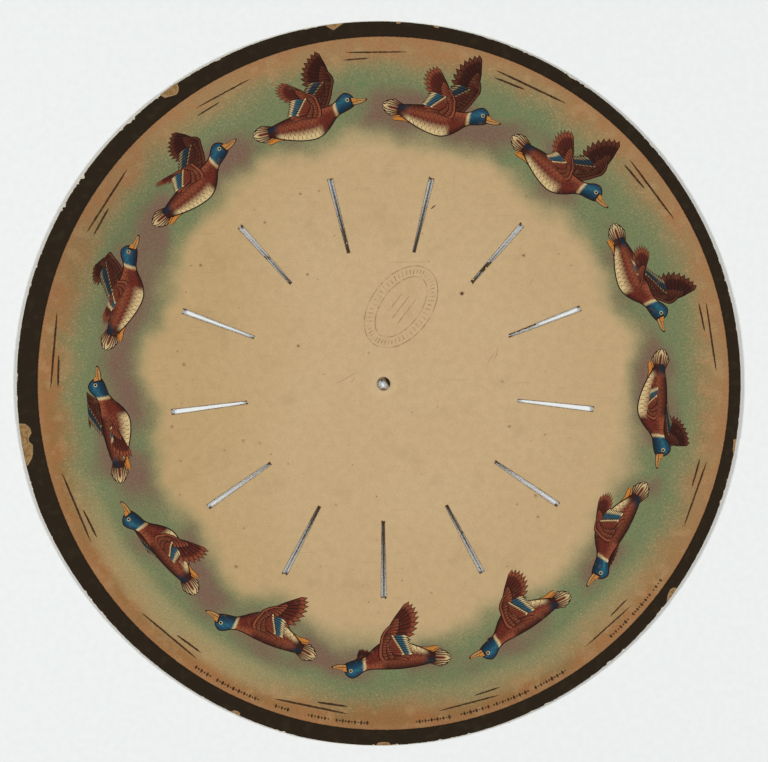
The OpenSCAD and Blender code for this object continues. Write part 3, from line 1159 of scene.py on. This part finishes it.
sizes = {
    "Place": (*slot_ring_middle, face_top + WEAR_HEIGHT), "Slots": slot_count, "Step": radians(slot_step),
    "First angle": radians(first_slot), "Inner end": slot_inner, "Outer end": slot_outer,
    "Inner width": slot_inner_width, "Outer width": slot_outer_width, "Nick length": 1.0, "Nick width": 0.6,
    "Raggedness": 0.1, "Seed": 13}
tree, given = new_layout("slot_nicks_and_shade", sizes)
index = count_up(tree)
corner = index % 4.0
outer = calc("GREATER_THAN", corner, 1.5)
left = index % 2.0 * 2.0 - 1.0
angle = calc("FLOOR", index / 4.0) * given["Step"] + given["First angle"]
past = random_number(-0.5, 0.1, given["Seed"])
far = fade(outer, 0.0, 1.0, given["Inner end"] - past, given["Outer end"] + past)
aside = left * fade(outer, 0.0, 1.0, given["Inner width"], given["Outer width"]) * NICK_ASIDE
east, north = cosine(angle), sine(angle)
x = far * east - aside * north
y = far * north + aside * east
points = add("GeometryNodePoints", {0: given["Slots"] * 4.0, 1: xyz(x, y)})
nick = add("GeometryNodeMeshCircle", {0: 10, 1: 0.5}, tree=tree, fill_type="TRIANGLE_FAN")
grow = random_number(0.45, 1.15, given["Seed"] + 1.0)
size = xyz(given["Nick length"] * grow, given["Nick width"] * grow, 1.0)
nicks = frayed(laid(nick, points, size, angle), 0.5, given["Raggedness"], 95)
end_layout(given, nicks)
lay_out("slot_nicks_and_shade", tree, sizes, nick_dirt_and_shade)


# Worn rim.
# Handling has rubbed the dark ink off the very edge of the face sheet and nibbled it, so its core
# shows as a thin uneven line all round, with deeper nibbles at the upper left. The line's pale
# colour is also a painted highlight, for the board's cut edge where the lamps light it.

def line_mesh(lines, closed):
    """Lines of points as one mesh of edges, for a layout to follow."""
    spots, links = [], []
    for line in lines:
        first, count = len(spots), len(line)
        links += [(first + i, first + (i + 1) % count) for i in range(count if closed else count - 1)]
        spots += [(x, y, 0) for x, y in line]
    mesh = bpy.data.meshes.new("lines")
    mesh.from_pydata(spots, links, [])
    return mesh


def evenly(line, spacing):
    """The same line with its points at even spacing."""
    run = np.concatenate([[0], np.cumsum(np.linalg.norm(np.diff(line, axis=0), axis=1))])
    steps = np.linspace(0, run[-1], max(3, round(run[-1] / spacing)))
    return np.c_[np.interp(steps, run, line[:, 0]), np.interp(steps, run, line[:, 1])]


def off_line(points, line):
    """How far each point is from a closed line."""
    steps = np.roll(line, -1, 0) - line
    away = points[:, None] - line
    share = np.clip((away * steps).sum(2) / (steps ** 2).sum(1), 0, 1)
    return np.linalg.norm(away - share[..., None] * steps, axis=2).min(1)


# Farther than this inside the board's edge, the face sheet's edge counts as torn
TORN_AWAY = 0.055
TEAR_SPACING = 0.3

rim_line = cut_borders(sheets["board_ply_4"].data)[0]
torn = off_line(outline, rim_line) > TORN_AWAY
first_whole = int(np.flatnonzero(~torn & ~np.roll(torn, 1))[0])
outline, torn = np.roll(outline, -first_whole, 0), np.roll(torn, -first_whole)
tears, whole_runs, start = [], [], 0
for i in range(1, len(torn)):
    if torn[i] and not torn[i - 1]:
        whole_runs.append(outline[start:i])
        start = i - 1
    if torn[i - 1] and not torn[i]:
        tears.append(evenly(outline[start:i + 1], TEAR_SPACING))
        start = i
whole_runs.append(np.vstack([outline[start:], outline[:1]]))

rim_core_and_highlight, at = new_finish("rim_core_and_highlight")
grain = cloud(at, 0.5, 96, 3.0)
dirty = fade(cloud(at, 3.5, 97, 3.0), 0.4, 0.7)
# Painted highlight as well as rubbed paper: a cream much paler than the core on the cut edges
colour = tint(fade(grain, 0.3, 0.7), (219, 212, 193), (186, 174, 152))
colour = tint(dirty * 0.35, colour, (126, 110, 88))
lay_on(colour, grain, (0.95, 0.8), 0.06)

sizes = {
    "Place": (0.0, 0.0, face_top + WEAR_HEIGHT), "Middle": (rim_middle.x, rim_middle.y, 0.0),
    "Spacing": 0.3, "Line": 0.17, "Worst line": 0.22, "Nibble": 1.25, "Nibble pitch": 1.9}
tree, given = new_layout("worn_and_lit_rim", sizes)
border = add("GeometryNodeMeshToCurve", {0: given["Border"]})
border = add("GeometryNodeResampleCurve", {0: border, 3: given["Spacing"]}, mode="LENGTH")
border = add("GeometryNodeCurveToMesh", {0: border})
at = here(tree)
across, up, _ = parts_of(at)
inwards = add("ShaderNodeVectorMath", {0: given["Middle"], 1: at}, operation="SUBTRACT")
inwards = add("ShaderNodeVectorMath", {0: inwards}, operation="NORMALIZE")
angle = calc("ARCTAN2", up, across)
worst = towards(angle, 136, 36, 0.0, 1.0)
in_pitch = scaled(at, 1.0 / given["Nibble pitch"])
fine = cloud(in_pitch, 1.0, 98, 2.0)
patch = fade(cloud(in_pitch, 8.0, 99, 1.0), 0.4, 0.62)
bite = fade(fine, 0.48, 0.68) * (patch * (worst * 0.65 + 0.35))
width = worst * given["Worst line"] + fine * given["Line"]
width = bite * given["Nibble"] + width
rim = add("GeometryNodeExtrudeMesh", {0: border, 2: inwards, 3: width}, mode="EDGES")
rim = add("GeometryNodeFlipFaces", {0: rim})
end_layout(given, rim)
lay_out("worn_and_lit_rim", tree, sizes, rim_core_and_highlight, line_mesh(whole_runs, False))


# Torn flakes.
# Where a flake of the face sheet came away, the paper split: a pale fringe slopes from the printed
# edge down to the board, and loose fibres stand round it.

# The fringe's least width, its raggedness, and its most as a share of the flake's depth
FRINGE_LEAST = 0.25
FRINGE_RAGGED = 0.45
FRINGE_MOST = 0.7
TEAR_SEED = 17

torn_paper = grained_finish("torn_paper", 0.6, 104, (0.3, 0.7), (172, 142, 104), (140, 108, 70), 0.06)


def strip_faces(first, count, rows, closed=False):
    """Faces between rows of points, each row as long as the first."""
    faces = []
    for row in range(first, first + (rows - 1) * count, count):
        for i in range(count if closed else count - 1):
            one, other = row + i, row + (i + 1) % count
            faces.append((one, other, other + count, one + count))
    return faces


ply_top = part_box("board_ply_4")[1].z / MM
chance = np.random.default_rng(TEAR_SEED)
points, faces = [], []
for line in tears:
    out = -outward(line)
    depth = off_line(line, rim_line)
    ragged = np.abs(np.convolve(chance.normal(0, 1, len(line) + 4), np.ones(5) / 2.2, "valid"))
    width = np.minimum(FRINGE_LEAST + FRINGE_RAGGED * ragged, FRINGE_MOST * depth)
    first, count = len(points), len(line)
    # Rows of points, from the printed edge down to the board
    for reach, height in ((0.0, face_top), (0.35, face_top - 0.05), (1.0, ply_top + 0.015)):
        points += [(x, y, height) for x, y in line + out * width[:, None] * reach]
    # Each face is turned over, and keeps its first corner
    faces += [face[:1] + face[:0:-1] for face in strip_faces(first, count, 3)]
fringe = new_piece("torn_fringe", points, faces, torn_paper)
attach(fringe, BODY)

sizes = {
    "Place": (0.0, 0.0, face_top - 0.04), "Pitch": 0.45, "Shortest": 0.4, "Longest": 1.3,
    "Thickness": 0.07, "Seed": 19}
tree, given = new_layout("torn_fibres", sizes)
border = add("GeometryNodeMeshToCurve", {0: given["Border"]})
points = add("GeometryNodeCurveToPoints", {0: border, 2: given["Pitch"]}, mode="LENGTH")
across, up, _ = parts_of(here(tree))
thin = up * (0.55 - abs(across))
bow = across * across * 0.5
strand = moved(strip(tree, 5, 2), xyz(across, thin * given["Thickness"] + bow))
length = random_number(given["Shortest"], given["Longest"], given["Seed"])
turn = random_number(0.0, 2 * pi, given["Seed"] + 1.0)
end_layout(given, laid(strand, points, xyz(length, length, 1.0), turn))
lay_out("flake_fibres", tree, sizes, torn_paper, line_mesh(tears, False))


# Slot edges.
# The cut edges of the slots are furred with paper fibres, and here and there a sliver of the face
# sheet was torn, not cut, and still hangs over the slot.

# The fur is laid by the flakes' own tree, its fibres shorter and farther apart
sizes = dict(sizes, Pitch=0.9, Shortest=0.25, Longest=0.75, Thickness=0.06, Seed=23)
slot_fur = grained_finish("slot_fur", 0.8, 101, (0.35, 0.65), (160, 132, 92), (104, 76, 46), 0.05)
lay_out("slot_fibres", tree, sizes, slot_fur, line_mesh(slot_borders, True))

# How far the burr along every cut edge hangs into the slot, and how ragged it is
BURR = 0.21
LEAST_HANG, MOST_HANG = 0.3, 1.1
HANG_STEP = 0.25
# How long a sliver's ends are
TAPER = 0.6
# Which slot, counted anticlockwise from the lowest, which edge, where the sliver starts and ends,
# and how wide it is there
SLIVERS = [
    (4, 1, 57.5, 69.8, 0.35, 0.8), (5, -1, 63.6, 69.2, 0.8, 0.8), (5, 1, 57.5, 62.0, 0.3, 0.3),
    (8, 1, 71.4, 73.8, 0.7, 0.7), (2, 1, 58.5, 66.0, 0.2, 0.2), (12, -1, 58.0, 65.0, 0.3, 0.3),
    (7, 1, 57.5, 68.0, 0.2, 0.2), (10, 1, 57.4, 60.5, 0.2, 0.2), (0, -1, 60.0, 66.0, 0.2, 0.2)]

# Burrs and slivers are dark as dirt and as painted shade: their colour stands for the shade inside the slot
burr_dirt_and_shade = grained_finish("burr_dirt_and_shade", 0.9, 105, (0.35, 0.65), (98, 72, 40), (56, 38, 18), 0.05)

points, faces = [], []
reach = np.arange(slot_inner, slot_outer, HANG_STEP)
half = np.interp(reach, [slot_inner, slot_outer], [slot_inner_width / 2, slot_outer_width / 2])
count = len(reach)
for slot in range(slot_count):
    along = direction(radians(first_slot + slot * slot_step))
    for edge in (-1, 1):
        aside = np.array([-along[1], along[0]]) * edge
        width = np.full(count, BURR)
        for which, side, start, end, first_width, last_width in SLIVERS:
            if (which, side) == (slot, edge):
                inside_it = np.clip(reach - start, 0, TAPER) * np.clip(end - reach, 0, TAPER) / TAPER ** 2
                width += np.sqrt(inside_it) * np.interp(reach, [start, end], [first_width, last_width])
        ragged = chance.uniform(LEAST_HANG, MOST_HANG, count + 2)
        hang = width * np.convolve(ragged, np.ones(3) / 3, "valid")
        first = len(points)
        for inset, height in ((0.0, face_top), (0.6, face_top - 0.05), (1.0, face_top - 0.16)):
            for r, h, w in zip(reach, half, hang):
                points.append((*(r * along + (h - w * inset) * aside + slot_ring_middle), height))
        faces += [face[::-edge] for face in strip_faces(first, count, 3)]
slivers = new_piece("slot_slivers", points, faces, burr_dirt_and_shade)
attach(slivers, BODY)


# Spindle hole's edge.
# The punch and years of spindles have pressed a ragged lip of paper into the hole. Its colour is
# painted shade as well as grease: near black to the upper right, where the hole lies in shade, and
# grey-brown elsewhere for the half-shaded floor, darker to the top and dark at the bottom.

hole_lip_and_shade, at = new_finish("hole_lip_and_shade")
x, y, _ = parts_of(at)
grain = cloud(at, 0.6, 103, 3.0)
# Painted shade: the lip darkens to the top, at the bottom and most to the upper right, where the hole is in
# shade
greased_and_shaded = grain * 0.8 + (y * 0.55 + x)
pale = tint(fade(y, 0.0, 1.6), (150, 136, 112), (112, 98, 74))
pale = tint(fade(y, -2.1, -2.5, 0.0, 0.8), pale, (58, 44, 26))
colour = tint(fade(greased_and_shaded, 1.85, 2.35), pale, (36, 23, 9))
lay_on(colour, grain, (0.95, 0.75), 0.05)

# The lip's least width, its raggedness, and how far it reaches in towards the upper right, pressed in by
# spindles and carrying the painted shade there
LIP_LEAST = 0.45
LIP_RAGGED = 0.5
LIP_PUSHED_AND_SHADED = 1.25
PUSHED_AND_SHADED_TOWARDS = radians(35)
LIP_STEP = 0.12
LIP_SEED = 29

line = evenly(np.vstack([hole_border, hole_border[:1]]), LIP_STEP)[:-1]
turn = np.arctan2(line[:, 1], line[:, 0])
chance = np.random.default_rng(LIP_SEED)
ragged = np.convolve(np.pad(chance.uniform(0, 1, len(line)), 2, "wrap"), np.ones(5) / 5, "valid")
pushed_and_shaded = np.clip(np.cos(turn - PUSHED_AND_SHADED_TOWARDS), 0, 1)
lip = LIP_LEAST + LIP_RAGGED * ragged + LIP_PUSHED_AND_SHADED * pushed_and_shaded
inwards = -line / np.linalg.norm(line, axis=1)[:, None]
# Rows of points: a flat edge on the face, and two that hang into the hole
flat_edge = face_top + WEAR_HEIGHT
points = []
for reach, height in ((-0.15, flat_edge), (0.0, flat_edge), (0.6, face_top - 0.1), (1.0, face_top - 0.3)):
    hang = lip * reach if reach > 0 else np.full_like(lip, reach)
    points += [(x, y, height) for x, y in line + inwards * hang[:, None]]
faces = [face[::-1] for face in strip_faces(0, len(line), 4, True)]
lip_piece = new_piece("hole_lip_and_shade", points, faces, hole_lip_and_shade)
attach(lip_piece, BODY)


# Table, lamps and camera.
# The disc lies on a pale sheet and is seen from straight above, lit softly from its left and
# right, so that its edge throws a narrow shadow on each side.

TABLE_SIZE = 3.0
TABLE_DROP = 0.02
LAMP_DISTANCE = 2.4
LAMP_SIZE = 0.6
LEFT_ELEVATION = radians(46)
LEFT_POWER = 37.2
RIGHT_ELEVATION = radians(50)
RIGHT_POWER = 33.0
FILL_LIGHT = 0.11
CAMERA_AT = (0.21, 1.18, 1400.0)
SENSOR = 36.0
LENS = 155.7

pale_sheet, at = new_finish("pale_sheet")
fibre = cloud(at, 3.0, 90, 3.0)
colour = tint(fade(fibre, 0.3, 0.7), (238, 241, 240), (235, 238, 237))
lay_on(colour, fibre, (0.9, 0.85), 0.01, (0.0, 1.0))
half = TABLE_SIZE / 2 / MM
corners = [(x, y, -TABLE_DROP) for x, y in ((-half, -half), (half, -half), (half, half), (-half, half))]
table = new_piece("table", corners, [(0, 1, 2, 3)], pale_sheet)

# The left lamp and the right one, each turned to face the disc
for side, elevation, power in ((-1, LEFT_ELEVATION, LEFT_POWER), (1, RIGHT_ELEVATION, RIGHT_POWER)):
    lamp_data = bpy.data.lights.new("lamp", "AREA")
    lamp_data.size = LAMP_SIZE
    lamp_data.energy = power
    lamp = bpy.data.objects.new("lamp", lamp_data)
    lamp.location = (side * LAMP_DISTANCE * cos(elevation), 0, LAMP_DISTANCE * sin(elevation))
    lamp.rotation_euler = (0, side * (pi / 2 - elevation), 0)
    bpy.context.scene.collection.objects.link(lamp)

world = bpy.data.worlds.new("studio")
world.use_nodes = True
feed(world.node_tree.nodes["Background"], {"Color": (1.0, 1.0, 1.0, 1.0), "Strength": FILL_LIGHT})
bpy.context.scene.world = world

camera_data = bpy.data.cameras.new("camera")
camera_data.sensor_width = SENSOR
camera_data.lens = LENS
camera = bpy.data.objects.new("camera", camera_data)
camera.location = tuple(c * MM for c in CAMERA_AT)
bpy.context.scene.collection.objects.link(camera)
bpy.context.scene.camera = camera
bpy.context.scene.view_settings.view_transform = "Standard"
